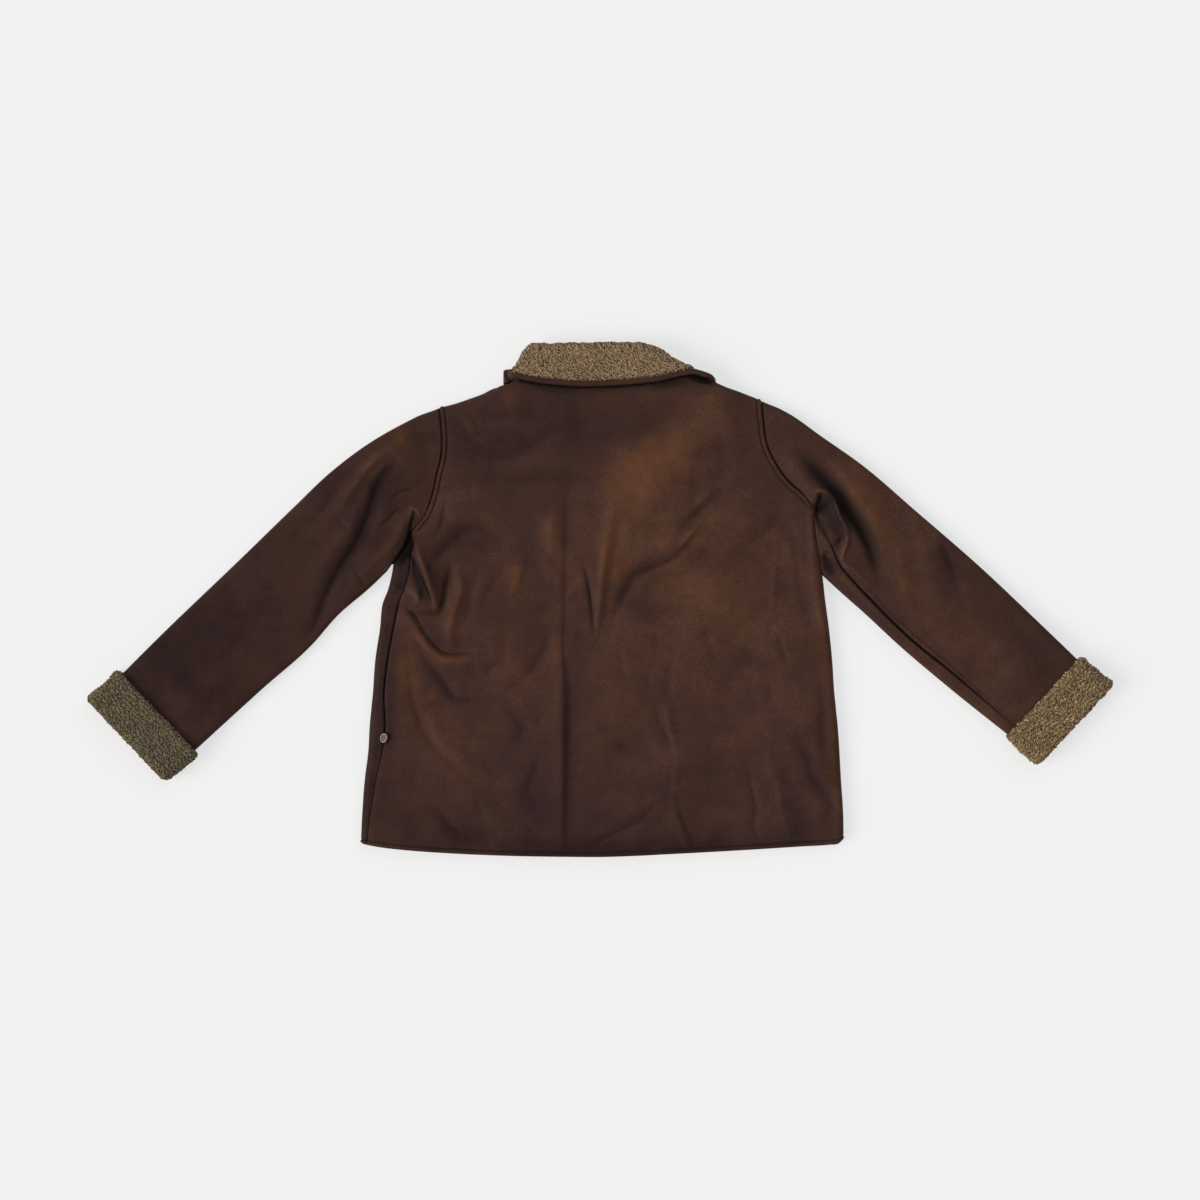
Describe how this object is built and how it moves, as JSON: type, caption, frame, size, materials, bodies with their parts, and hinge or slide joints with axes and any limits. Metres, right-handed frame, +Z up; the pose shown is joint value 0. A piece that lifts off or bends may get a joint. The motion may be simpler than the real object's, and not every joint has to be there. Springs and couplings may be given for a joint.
{
  "type": "faux suede jacket",
  "caption": "Hip-length dark brown faux suede jacket with sherpa collar and turned-back cuffs, laid flat with its back up, sleeves spread.",
  "frame": {"origin": "middle of the jacket's outline, on the flat surface it lies on", "axes": "+X across the jacket towards the wearer's right sleeve, +Y from the hem to the collar, +Z up from the surface, out of the jacket's back"},
  "size_m": [1.2291, 0.6185, 0.0284],
  "materials": {
    "suede": "mottled dark brown faux suede with a short soft nap",
    "sherpa": "curly khaki beige pile",
    "binding": "smooth dark brown suede strip",
    "rivet_metal": "satin metal cap"
  },
  "bodies": {
    "root": {"back": "suede", "front_left": "suede", "front_right": "suede", "sleeve_left": "suede", "sleeve_right": "suede", "cuff_left": "sherpa", "cuff_right": "sherpa", "collar": "sherpa", "collar_binding": "binding", "rivet_left": "rivet_metal", "rivet_right": "rivet_metal"}
  },
  "joints": []
}
